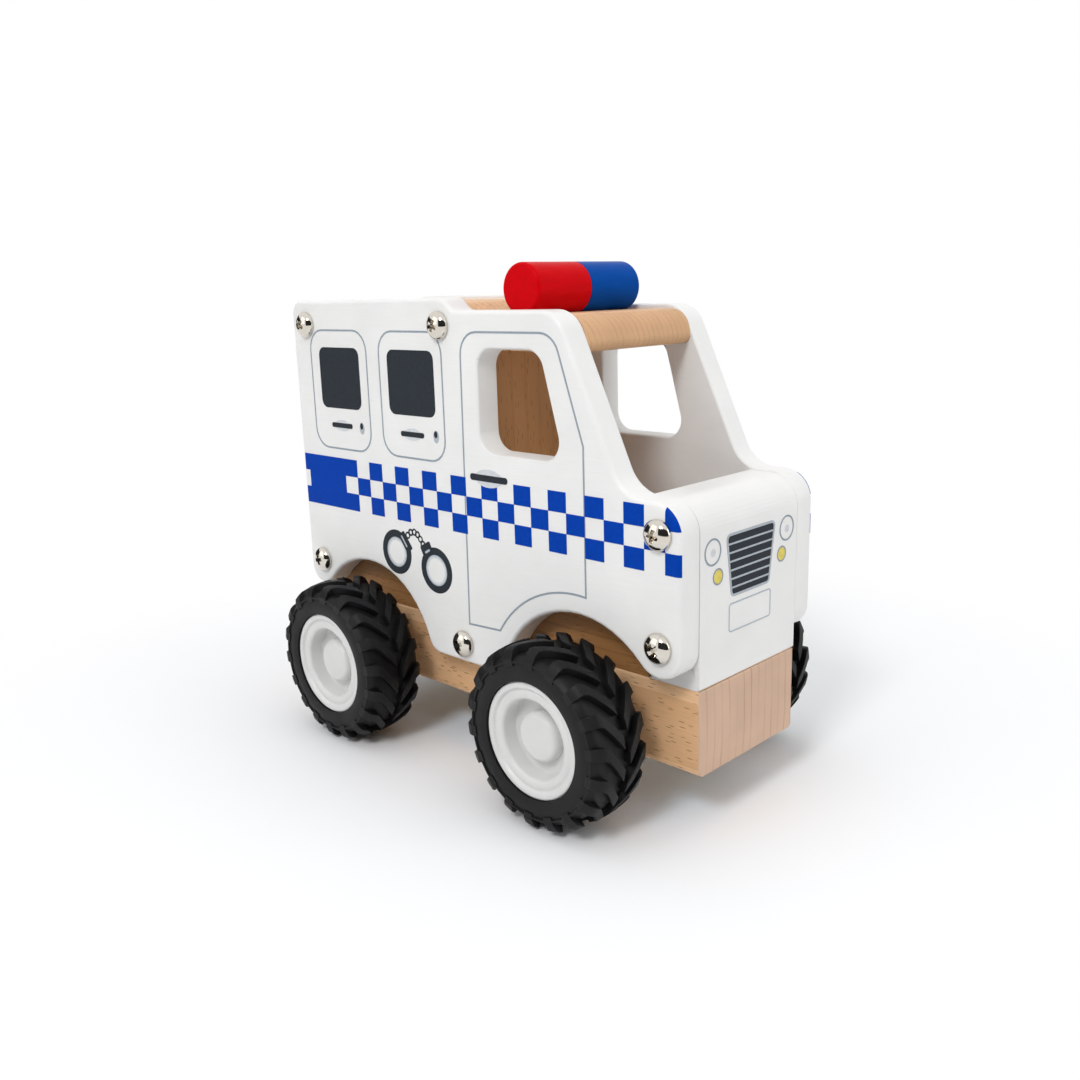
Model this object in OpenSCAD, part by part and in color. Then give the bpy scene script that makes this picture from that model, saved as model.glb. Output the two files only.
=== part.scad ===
/* [Body] */
// Overall length of the side panels
panel_len = 178; // [174:1:190]
// Thickness of a side panel
panel_t = 9; // [8:0.5:11]
// Width between the side panels, also the width of the chassis
inner_w = 50; // [46:1:54]
// Height of the rear roof line above the floor
roof_z = 155.5; // [154.5:0.5:157]
// Height of the cab roof line above the floor
cab_z = 151.5; // [150.5:0.5:152.5]
// Height of the bonnet line above the floor
hood_z = 100.5; // [97:0.5:103]
// Height of the panels' lower edge at the front
sill_z = 49.5; // [48:0.5:52]
// Height of the panels' lower edge at the rear
tail_z = 49.2; // [47.7:0.5:51.7]
// Height of the panels' lower edge between the wheels
belly_z = 35.5; // [33:0.5:38]
// Lean of the windscreen pillar from upright, in degrees
pillar_lean = 24.8; // [24:0.1:27]
// Radius of the wheel arches
arch_r = 33.5; // [32.5:0.5:35]
// Radius of the round-over along a panel's outer edges
edge_r = 1.4; // [0.8:0.1:2]
// Radius of the eased edges on a panel's inner side
inner_edge_r = 0.8; // [0.4:0.1:1.2]

/* [Boards] */
// Thickness of the front block and of the rear wall
block_t = 18; // [16:1:20]
// Height of the chassis underside above the floor
chassis_z = 18; // [17:0.5:20]
// Height of the chassis beam
chassis_h = 27; // [26:0.5:28]
// Thickness of the deck board on the chassis
deck_h = 20; // [19:0.5:22]
// Thickness of the bulkhead behind the cab
bulkhead_t = 12; // [10:1:14]
// Depth of the roof board below the panels' roof lines
roof_inset = 1.5; // [1:0.25:2]
// Height of the roof board's underside above the floor
roof_under_z = 139; // [138:0.5:140]

/* [Light bar] */
// Diameter of the light bar
bar_d = 16; // [15:0.5:17]
// Length of the light bar
bar_len = 48; // [40:1:48]
// Place of the light bar, ahead of the middle of the van
bar_x = 21; // [18:0.5:24]

/* [Wheels] */
// Outer diameter of a tyre over its lugs
tyre_d = 58; // [57:0.5:60]
// Width of a tyre
tyre_w = 22; // [21:0.5:22]
// Distance from the middle of the van to the middle of a tyre
track_half = 45; // [45:0.5:47]
// Place of the front axle, ahead of the middle of the van
front_x = 50.5; // [49:0.5:51]
// Place of the rear axle, behind the middle of the van
rear_x = 51.5; // [50:0.5:52]
// Lugs in each of a tyre's two rows
lug_count = 18; // [16:1:20]
// Diameter of an axle
axle_d = 5; // [4:0.5:6]
// Radial clearance of an axle in the chassis
axle_gap = 0.05; // [0.02:0.01:0.09]

/* [Hidden] */
$fn = 48;

// Paint and timber colours
beech = "burlywood";
white_paint = "whitesmoke";
red_paint = "red";
blue_paint = "mediumblue";

// Main planes
half_len = panel_len / 2;
half_in = inner_w / 2;
axle_z = tyre_d / 2;
deck_z = chassis_z + chassis_h;
deck_top = deck_z + deck_h;
block_x = half_len - block_t;
bar_floor = cab_z - roof_inset;
cut = 1;

// Outline arcs and edge rounding
arc_step = 7.5;
edge_steps = 4;
inner_steps = 2;
ear_least = 0.0001;

// Side panel outline
pillar_x = 45;
pillar_run = (cab_z - hood_z) * tan(pillar_lean);
step_x = 0.5;
step_run = 4.5;
hood_r = 9.5;
hood_sweep_r = 12;
cab_r = 10;
step_r = 4.5;
rear_r = 5;
belly_fillet_r = 6;
lobe_fillet_r = 8.5;
lobe_flat = 0.3;
front_low_r = half_len - front_x - fillet_run(sill_z, lobe_fillet_r) - lobe_flat;
tail_low_r = half_len - rear_x - fillet_run(tail_z, lobe_fillet_r) - lobe_flat;

// Cab window
window_rear = 11;
window_front_low = 46;
window_front_top = 37.4;
window_low = 107;
window_top = 140;
window_low_r = 8;
window_top_r = 6;
window_nose_r = 4.5;
window_edge = 0.8;

// Fasteners
screw_r = 2;
screw_len = 28;
screw_head_r = 4.6;
screw_head_h = 3.2;
cross_len = 4.6;
cross_w = 1.1;
cross_depth = 1.7;
pin_r = 3;
pin_len = 16;
pin_y = 12;
block_mid = half_len - block_t / 2;
front_screw_x = half_len - 7.5;
low_screw_rise = 9.5;
hood_screw_drop = 9;
roof_screw_drop = 8.5;
roof_screw_x = -6;
belly_screw_x = -0.8;
belly_screw_drop = 2.8;
screw_spots = [[front_screw_x, sill_z + low_screw_rise], [front_screw_x, hood_z - hood_screw_drop],
    [-block_mid, sill_z + low_screw_rise], [-block_mid, roof_z - roof_screw_drop],
    [roof_screw_x, roof_z - roof_screw_drop], [belly_screw_x, deck_z - belly_screw_drop]];
deck_pin_x = 30;
wall_pin_rise = 4.5;
roof_pin_z = roof_under_z - 3;
pin_spots = [[block_mid, deck_z], [-block_mid, deck_z], [-block_mid, deck_top + wall_pin_rise],
    [-block_mid, roof_pin_z], [0, deck_top], [0, roof_pin_z], [deck_pin_x, deck_z],
    [-deck_pin_x, deck_z]];

// Light bar
bar_r = bar_d / 2;
bar_flat = 0.5;
bar_z = bar_floor + bar_r - bar_flat;
bar_edge_r = 0.8;
bar_edge_step = 30;
peg_y = 12;
peg_depth = 8;
peg_rise = 7;

// Edges of the beam, the blocks and the roof board
chassis_edge_r = 3;
chassis_end_r = 0.6;
block_edge_r = 0.8;
roof_lip_r = 3;
roof_lip_gap = 1.5;
roof_nose = 1.8;
roof_nose_r = 7;

// Rim, measured from the middle plane of the tyre, outboard positive
half_tyre = tyre_w / 2;
seat_r = 17;
flange_r = 18.2;
lip_t = 1.4;
lip_edge = 0.6;
groove_r = 15.4;
groove_w = 1.2;
groove_depth = 0.6;
mouth_r = 12.8;
mouth_edge = 0.9;
recess_r = 11.9;
rim_face = half_tyre - 1;
rim_back = -half_tyre + 0.4;
recess_floor = 3.8;
web_back = 0.5;
web_r = 14;
barrel_r = 14.6;
boss_r = 6;
boss_gap = 0.5;
boss_end = half_in + boss_gap - track_half;

// Hub cap and axle end
cap_r = 7.8;
cap_face = 7.5;
cap_edge_r = 2;
cap_edge_step = 22.5;
axle_in_cap = 2;
axle_half = track_half + recess_floor + axle_in_cap;

// Tyre tread and sidewall
lug_h = 2.5;
lug_w = 3.8;
lug_skew = 8.6;
lug_mid = 1;
lug_bend = 7.6;
lug_root_r = 20;
lug_chamfer = 1.6;
lug_reach = 2;
crown_drop = 1.2;
crown_edge = 8;
crown_step = 4;
wall_bulge = 0.8;
wall_steps = 4;
shoulder_r = tyre_d / 2 - 4;
lug_pitch = 360 / lug_count;

function unit(v) = v / norm(v);

// A rail point is [centre x, centre z, radius, angle, bend] on an arc of the outline
// Its bend is 1 on an outer arc and -1 on an inner one
function arc_rail(c, r, a0, a1, bend) =
    let (n = max(2, ceil(abs(a1 - a0) / arc_step)))
    [for (i = [0 : n]) [c[0], c[1], r, a0 + (a1 - a0) * i / n, bend]];

// The arc that rounds corner p, an [x, z, radius], between the corners before and after it
function corner_rail(before, p, after) =
    let (at = [p[0], p[1]],
        a = unit([before[0], before[1]] - at),
        b = unit([after[0], after[1]] - at),
        half = acos(a * b) / 2,
        bend = cross(a, b) < 0 ? 1 : -1,
        c = at + unit(a + b) * p[2] / sin(half),
        t = at + a * p[2] / tan(half) - c,
        a0 = atan2(t[1], t[0]))
    arc_rail(c, p[2], a0, a0 + bend * (180 - 2 * half), bend);

function corners_rail(p) =
    let (n = len(p))
    [for (i = [0 : n - 1]) each corner_rail(p[(i + n - 1) % n], p[i], p[(i + 1) % n])];

// A rail's points, moved into the shape by an inset
function outline(rail, inset = 0) =
    [for (q = rail) let (r = q[2] - q[4] * inset) [q[0] + r * cos(q[3]), q[1] + r * sin(q[3])]];

// A list without its first and last items, for an arc between two arcs that it touches
function between(list) = [for (i = [1 : len(list) - 2]) list[i]];

// Distance along x from an axle to the centre of a fillet of radius r on a lower edge at height z
function fillet_run(z, r) = sqrt(pow(arch_r + r, 2) - pow(z + r - axle_z, 2));

// A wheel arch at x, with the lower edge's height and its fillet's radius behind it and ahead of it
function arch_rail(x, z0, r0, z1, r1) =
    let (a0 = asin((z0 + r0 - axle_z) / (arch_r + r0)),
        a1 = asin((z1 + r1 - axle_z) / (arch_r + r1)))
    concat(arc_rail([x - fillet_run(z0, r0), z0 + r0], r0, -90, -a0, 1),
        between(arc_rail([x, axle_z], arch_r, 180 - a0, a1, -1)),
        arc_rail([x + fillet_run(z1, r1), z1 + r1], r1, 180 + a1, 270, 1));

// Corners of the panel above its lower edge, from the front lower corner round to the rear lower one
panel_corners = [[half_len, sill_z, front_low_r], [half_len, hood_z, hood_r],
    [pillar_x + pillar_run, hood_z, hood_sweep_r], [pillar_x, cab_z, cab_r],
    [step_x, cab_z, step_r], [step_x - step_run, roof_z, step_r],
    [-half_len, roof_z, rear_r], [-half_len, tail_z, tail_low_r]];
panel_rail = concat(corners_rail(panel_corners),
    arch_rail(-rear_x, tail_z, lobe_fillet_r, belly_z, belly_fillet_r),
    arch_rail(front_x, belly_z, belly_fillet_r, sill_z, lobe_fillet_r));
window_rail = corners_rail([[window_rear, window_low, window_low_r],
    [window_front_low, window_low, window_low_r], [window_front_top, window_top, window_nose_r],
    [window_rear, window_top, window_top_r]]);
roof_rail = corners_rail([[-half_len, roof_under_z, block_edge_r],
    [pillar_x + (cab_z - roof_under_z) * tan(pillar_lean) - roof_lip_gap, roof_under_z, roof_lip_r],
    [pillar_x + roof_nose, bar_floor, roof_nose_r],
    [step_x + roof_inset / 2, bar_floor, step_r], [step_x - step_run, roof_z - roof_inset, step_r],
    [-half_len, roof_z - roof_inset, rear_r - roof_inset]]);

// Whether point p lies in the triangle a, b, c, whose corners run anticlockwise
function in_triangle(p, a, b, c) =
    cross(b - a, p - a) >= 0 && cross(c - b, p - b) >= 0 && cross(a - c, p - c) >= 0;

// Whether the corner b between a and c of an outline can be cut off, with no other point in it
function is_ear(points, left, a, b, c) =
    cross(points[b] - points[a], points[c] - points[b]) > ear_least
    && len([for (k = left) if (k != a && k != b && k != c
        && in_triangle(points[k], points[a], points[b], points[c])) k]) == 0;

// Triangles that fill an anticlockwise outline, cut off one ear at a time from the points left
function fill(points, left, i = 0, done = []) =
    let (n = len(left), a = left[(i + n - 1) % n], b = left[i % n], c = left[(i + 1) % n])
    n == 3 ? concat(done, [left])
    : is_ear(points, left, a, b, c)
        ? fill(points, [for (k = left) if (k != b) k], i % n, concat(done, [[a, b, c]]))
        : fill(points, left, i + 1, done);

// A solid through rings [height, inset] of one rail
module loft(rail, rings) {
    n = len(rail);
    last = len(rings) - 1;
    points = [for (ring = rings) each [for (p = outline(rail, ring[1])) [p[0], p[1], ring[0]]]];
    sides = [for (k = [0 : last - 1]) each [for (i = [0 : n - 1])
        [k * n + i, (k + 1) * n + i, (k + 1) * n + (i + 1) % n, k * n + (i + 1) % n]]];
    base = fill(outline(rail, rings[0][1]), [for (i = [0 : n - 1]) i]);
    top = [for (t = fill(outline(rail, rings[last][1]), [for (i = [0 : n - 1]) i]))
        [last * n + t[2], last * n + t[1], last * n + t[0]]];
    polyhedron(points, concat(base, top, sides), convexity = 8);
}

// Turns a shape drawn in x and z so that its height runs towards the right side of the van
module upright(y) {
    translate([0, y, 0]) rotate([90, 0, 0]) children();
}

module side_board(rail, y0, width) {
    upright(y0) linear_extrude(width) polygon(outline(rail));
}

// Places its children on the right side as drawn, or mirrored on the left side
module on_side(left) {
    if (left) mirror([0, 1, 0]) children();
    else children();
}

// Heights and insets of a quarter round of radius r, from the face at height 0 to the full outline
function round_rings(r, steps) =
    [for (i = [steps : -1 : 0]) let (a = 90 * i / steps) [r * (1 - sin(a)), r * (1 - cos(a))]];

// Side panels and what holds them
module panel_blank() {
    outer = round_rings(edge_r, edge_steps);
    rings = concat(round_rings(inner_edge_r, inner_steps),
        [for (i = [edge_steps : -1 : 0]) [panel_t - outer[i][0], outer[i][1]]]);
    flare = window_edge + cut;
    upright(-half_in) difference() {
        loft(panel_rail, rings);
        loft(window_rail, [[-cut, -flare], [window_edge, 0],
            [panel_t - window_edge, 0], [panel_t + cut, -flare]]);
    }
}

module side_panel(left) {
    color(white_paint) on_side(left) difference() {
        panel_blank();
        screw_shanks();
    }
}

module screw_shanks() {
    for (p = screw_spots)
        translate([p[0], -half_in - panel_t, p[1]]) rotate([-90, 0, 0])
            cylinder(r = screw_r, h = screw_len);
}

// Domed head with a cross recess, its flat side on the panel's face
module screw_head() {
    dome_r = (screw_head_r * screw_head_r + screw_head_h * screw_head_h) / (2 * screw_head_h);
    difference() {
        intersection() {
            translate([0, 0, screw_head_h - dome_r]) sphere(r = dome_r);
            cylinder(r = screw_head_r, h = screw_head_h + cut);
        }
        for (a = [0, 90])
            rotate([0, 0, a]) translate([-cross_len / 2, -cross_w / 2, screw_head_h - cross_depth])
                cube([cross_len, cross_w, cross_depth + cut]);
    }
}

module panel_screws(left) {
    color("silver") on_side(left) {
        screw_shanks();
        for (p = screw_spots)
            translate([p[0], -half_in - panel_t, p[1]]) rotate([90, 0, 0]) screw_head();
    }
}

module dowel_pins() {
    color(beech) for (p = pin_spots, y = [-pin_y, pin_y])
        translate([p[0], y, p[1] - pin_len / 2]) cylinder(r = pin_r, h = pin_len);
}

module both_shanks() {
    screw_shanks();
    on_side(true) screw_shanks();
}

// Boards between the side panels
module chassis() {
    r = chassis_edge_r;
    e = chassis_end_r;
    side = corners_rail([[-half_len, chassis_z, e], [half_len, chassis_z, e],
        [half_len, deck_z, block_edge_r], [-half_len, deck_z, block_edge_r]]);
    plan = corners_rail([[-half_len, -half_in, e], [half_len, -half_in, e], [half_len, half_in, e],
        [-half_len, half_in, e]]);
    section = corners_rail([[-half_in, chassis_z, r], [half_in, chassis_z, r],
        [half_in, deck_z, block_edge_r], [-half_in, deck_z, block_edge_r]]);
    color(beech) difference() {
        intersection() {
            side_board(side, half_in, inner_w);
            translate([0, 0, chassis_z]) linear_extrude(chassis_h) polygon(outline(plan));
            translate([-half_len, 0, 0]) rotate([90, 0, 90])
                linear_extrude(panel_len) polygon(outline(section));
        }
        for (x = [front_x, -rear_x])
            translate([x, half_in + cut, axle_z]) rotate([90, 0, 0])
                cylinder(r = axle_d / 2 + axle_gap, h = inner_w + 2 * cut);
        dowel_pins();
        both_shanks();
    }
}

module deck_board() {
    color(beech) difference() {
        translate([-half_len, -half_in, deck_z]) cube([half_len + block_x, inner_w, deck_h]);
        dowel_pins();
        both_shanks();
    }
}

module front_block() {
    profile = corners_rail([[block_x, deck_z, block_edge_r], [half_len, deck_z, block_edge_r],
        [half_len, hood_z - block_edge_r / 2, hood_r], [block_x, hood_z - block_edge_r / 2, block_edge_r]]);
    color(white_paint) difference() {
        side_board(profile, half_in, inner_w);
        dowel_pins();
        both_shanks();
    }
}

module rear_wall() {
    color(white_paint) difference() {
        translate([-half_len, -half_in, deck_top]) cube([block_t, inner_w, roof_under_z - deck_top]);
        dowel_pins();
    }
}

module bulkhead() {
    color(beech) difference() {
        translate([-bulkhead_t / 2, -half_in, deck_top]) cube([bulkhead_t, inner_w, roof_under_z - deck_top]);
        dowel_pins();
    }
}

module roof_board() {
    color(beech) difference() {
        side_board(roof_rail, half_in, inner_w);
        dowel_pins();
        both_shanks();
        light_bar_pegs();
    }
}

// Light bar, drawn from the middle of the van outwards and seated on a narrow flat
module light_bar_half() {
    half = bar_len / 2;
    e = bar_edge_r;
    profile = concat([[0, 0], [bar_r, 0]],
        [for (a = [0 : bar_edge_step : 90]) [bar_r - e + e * cos(a), half - e + e * sin(a)]],
        [[0, half]]);
    difference() {
        translate([bar_x, 0, bar_z]) rotate([90, 0, 0]) rotate_extrude() polygon(profile);
        translate([bar_x - bar_r, -bar_len, bar_floor - bar_d]) cube([bar_d, 2 * bar_len, bar_d]);
        light_bar_pegs();
    }
}

module light_bar_red() {
    color(red_paint) light_bar_half();
}

module light_bar_blue() {
    color(blue_paint) mirror([0, 1, 0]) light_bar_half();
}

module light_bar_pegs() {
    color(beech) for (y = [-peg_y, peg_y])
        translate([bar_x, y, bar_floor - peg_depth]) cylinder(r = pin_r, h = peg_depth + peg_rise);
}

// Wheels, drawn about the z axis with the outboard side up
module on_wheel(x, left) {
    on_side(left) translate([x, -track_half, axle_z]) rotate([90, 0, 0]) children();
}

function crown(u) = tyre_d / 2 - crown_drop * pow(u / half_tyre, 2);

// Tyre body: bead, sidewalls and the tread's base
module tyre_body() {
    bead = [[seat_r, rim_face - lip_t], [flange_r, rim_face - lip_t]];
    wall = [for (i = [0 : wall_steps]) let (t = i / wall_steps)
        [flange_r + t * (shoulder_r - flange_r), half_tyre - wall_bulge * pow(2 * t - 1, 2)]];
    side = concat(bead, wall);
    base = [for (u = [crown_edge : -crown_step : -crown_edge]) [crown(u) - lug_h, u]];
    back = [for (i = [len(side) - 1 : -1 : 0]) [side[i][0], -side[i][1]]];
    rotate_extrude() polygon(concat(side, base, back));
}

// One lug of the outboard row, bent where it meets the shoulder
module lug() {
    s = lug_skew / 2;
    w = lug_w / 2;
    translate([lug_root_r, 0, 0]) rotate([90, 0, 90])
        linear_extrude(tyre_d / 2 - lug_root_r + lug_reach)
        polygon([[-s - w, lug_mid], [-s + w, lug_mid], [s + w, lug_bend], [s + w, half_tyre + cut],
            [s - w, half_tyre + cut], [s - w, lug_bend]]);
}

// Outer surface of the lugs, from the crown down to the shoulders
module lug_envelope() {
    rise = [[lug_root_r, half_tyre], [shoulder_r, half_tyre],
        [crown(half_tyre) - lug_chamfer / 2, half_tyre - lug_chamfer]];
    top = [for (u = [crown_edge : -crown_step : -crown_edge]) [crown(u), u]];
    fall = [for (i = [len(rise) - 1 : -1 : 0]) [rise[i][0], -rise[i][1]]];
    rotate_extrude() polygon(concat(rise, top, fall));
}

module tyre(x, left) {
    half_turn = asin(lug_skew / tyre_d);
    color("dimgray") on_wheel(x, left) {
        tyre_body();
        intersection() {
            lug_envelope();
            for (i = [0 : lug_count - 1]) {
                rotate([0, 0, i * lug_pitch - 90 + half_turn]) lug();
                rotate([0, 0, (i + 0.5) * lug_pitch - 90 + half_turn]) mirror([0, 0, 1]) lug();
            }
        }
    }
}

module rim(x, left) {
    f = rim_face;
    bore = axle_d / 2;
    lip = [[flange_r, f - lip_t], [flange_r, f - lip_edge], [flange_r - lip_edge, f]];
    groove = [[groove_r + groove_w / 2, f], [groove_r, f - groove_depth],
        [groove_r - groove_w / 2, f - groove_depth]];
    recess = [[mouth_r, f - mouth_edge], [recess_r + mouth_edge / 2, f - 2 * mouth_edge],
        [recess_r, recess_floor], [bore, recess_floor]];
    boss = [[bore, boss_end], [boss_r, boss_end], [boss_r, web_back], [web_r, web_back]];
    barrel = [[barrel_r, rim_back], [flange_r, rim_back], [flange_r, -f + lip_t], [seat_r, -f + lip_t],
        [seat_r, f - lip_t]];
    color("white") on_wheel(x, left) rotate_extrude() polygon(concat(lip, groove, recess, boss, barrel));
}

module hub_cap(x, left) {
    e = cap_edge_r;
    bore = axle_d / 2;
    edge = [for (a = [0 : cap_edge_step : 90]) [cap_r - e + e * cos(a), cap_face - e + e * sin(a)]];
    color("white") on_wheel(x, left) rotate_extrude()
        polygon(concat([[bore, recess_floor], [cap_r, recess_floor]], edge,
            [[0, cap_face], [0, recess_floor + axle_in_cap], [bore, recess_floor + axle_in_cap]]));
}

module axle(x) {
    color("lightsteelblue") translate([x, axle_half, axle_z]) rotate([90, 0, 0])
        cylinder(d = axle_d, h = 2 * axle_half);
}

chassis();
deck_board();
front_block();
rear_wall();
bulkhead();
roof_board();
side_panel(false);  // right_side_panel
side_panel(true);  // left_side_panel
panel_screws(false);  // right_panel_screws
panel_screws(true);  // left_panel_screws
dowel_pins();
light_bar_red();
light_bar_blue();
light_bar_pegs();
axle(front_x);  // front_axle
axle(-rear_x);  // rear_axle
tyre(front_x, false);  // front_right_tyre
rim(front_x, false);  // front_right_rim
hub_cap(front_x, false);  // front_right_hub_cap
tyre(front_x, true);  // front_left_tyre
rim(front_x, true);  // front_left_rim
hub_cap(front_x, true);  // front_left_hub_cap
tyre(-rear_x, false);  // rear_right_tyre
rim(-rear_x, false);  // rear_right_rim
hub_cap(-rear_x, false);  // rear_right_hub_cap
tyre(-rear_x, true);  // rear_left_tyre
rim(-rear_x, true);  // rear_left_rim
hub_cap(-rear_x, true);  // rear_left_hub_cap
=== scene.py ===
"""Dresses the wooden toy van: painted panels and print, bare beech, rubber tyres and plated screws."""

import math

import bpy
from mathutils import Matrix, Vector


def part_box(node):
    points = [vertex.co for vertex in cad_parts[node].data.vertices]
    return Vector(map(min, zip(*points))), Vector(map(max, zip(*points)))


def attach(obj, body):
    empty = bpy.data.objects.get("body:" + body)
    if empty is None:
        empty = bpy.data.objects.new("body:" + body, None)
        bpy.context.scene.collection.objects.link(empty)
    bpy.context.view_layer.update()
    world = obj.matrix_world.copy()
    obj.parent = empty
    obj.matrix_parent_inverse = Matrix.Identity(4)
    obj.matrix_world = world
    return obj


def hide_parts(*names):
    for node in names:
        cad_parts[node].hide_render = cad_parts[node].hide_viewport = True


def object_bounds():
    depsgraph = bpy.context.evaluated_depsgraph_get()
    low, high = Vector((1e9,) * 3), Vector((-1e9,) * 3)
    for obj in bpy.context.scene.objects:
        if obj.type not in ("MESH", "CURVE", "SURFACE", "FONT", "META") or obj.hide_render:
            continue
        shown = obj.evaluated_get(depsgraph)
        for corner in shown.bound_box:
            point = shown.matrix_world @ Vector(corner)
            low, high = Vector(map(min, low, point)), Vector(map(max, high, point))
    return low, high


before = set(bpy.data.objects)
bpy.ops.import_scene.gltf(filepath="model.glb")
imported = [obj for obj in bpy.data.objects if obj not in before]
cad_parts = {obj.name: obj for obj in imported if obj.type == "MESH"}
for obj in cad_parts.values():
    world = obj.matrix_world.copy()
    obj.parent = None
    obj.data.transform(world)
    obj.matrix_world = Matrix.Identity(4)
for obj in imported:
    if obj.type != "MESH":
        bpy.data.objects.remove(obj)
cad_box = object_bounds()
MM = 0.001

# The viewpoint of the photograph, as a place and a direction in the frame
EYE = Vector((253.7, -254.6, 158.0)) * MM
EYE_AZIMUTH = math.radians(44.592)
EYE_ELEVATION = math.radians(13.540)
EYE_ROLL = math.radians(-1.673)
LENS = 35.04

# Main planes of the van, read from the CAD parts
FACE_Y = -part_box("right_side_panel")[0].y
NOSE_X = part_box("front_block")[1].x
# Which way each side of the van faces along y
SIDES = {"right": -1, "left": 1}

# Thickness of a printed ink film, and how far it sinks into the paint
INK = 0.05 * MM
INK_ROOT = 0.04 * MM
# Points closer than this are welded, and a board's edges are eased by this much
WELD = 0.002 * MM
BOARD_EDGE = 0.5 * MM


def linear(code):
    """An sRGB hex colour as linear RGBA."""
    parts = [int(code[i:i + 2], 16) / 255 for i in (1, 3, 5)]
    return [c / 12.92 if c <= 0.04045 else ((c + 0.055) / 1.055) ** 2.4 for c in parts] + [1.0]


# Materials. A colour Mix has its factor at socket 0, its colours at 6 and 7, and its result at 2


def add(tree, kind, inputs=None, **settings):
    """Adds a node, with its settings, and fills or links its inputs."""
    made = tree.nodes.new("ShaderNode" + kind)
    for name, value in settings.items():
        setattr(made, name, value)
    for name, value in (inputs or {}).items():
        if isinstance(value, bpy.types.NodeSocket):
            tree.links.new(value, made.inputs[name])
        else:
            made.inputs[name].default_value = value
    return made


def new_material(name):
    """An empty material, its tree and its principled shader."""
    material = bpy.data.materials.new(name)
    material.use_nodes = True
    tree = material.node_tree
    tree.nodes.clear()
    shader = add(tree, "BsdfPrincipled")
    add(tree, "OutputMaterial", {"Surface": shader.outputs["BSDF"]})
    return material, tree, shader


def settle(tree, shader, **inputs):
    """Sets or links a shader's inputs by name, with _ for a space."""
    for name, value in inputs.items():
        socket = shader.inputs[name.replace("_", " ")]
        if isinstance(value, bpy.types.NodeSocket):
            tree.links.new(value, socket)
        else:
            socket.default_value = value


# Turns of the wood space, in which x runs along the grain
GRAIN = {"x": (0, 0, 0), "z": (0, math.radians(90), 0)}
# Scale of a space in millimetres, the span that most of a noise lies in,
# and the length after which a wave of scale 1 repeats
PER_MM = (1 / MM, 1 / MM, 1 / MM)
NOISE = {"From Min": 0.3, "From Max": 0.7}
WAVE_LENGTH = 0.314
FLECK_BROWN = "#7c4f2c"


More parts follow.
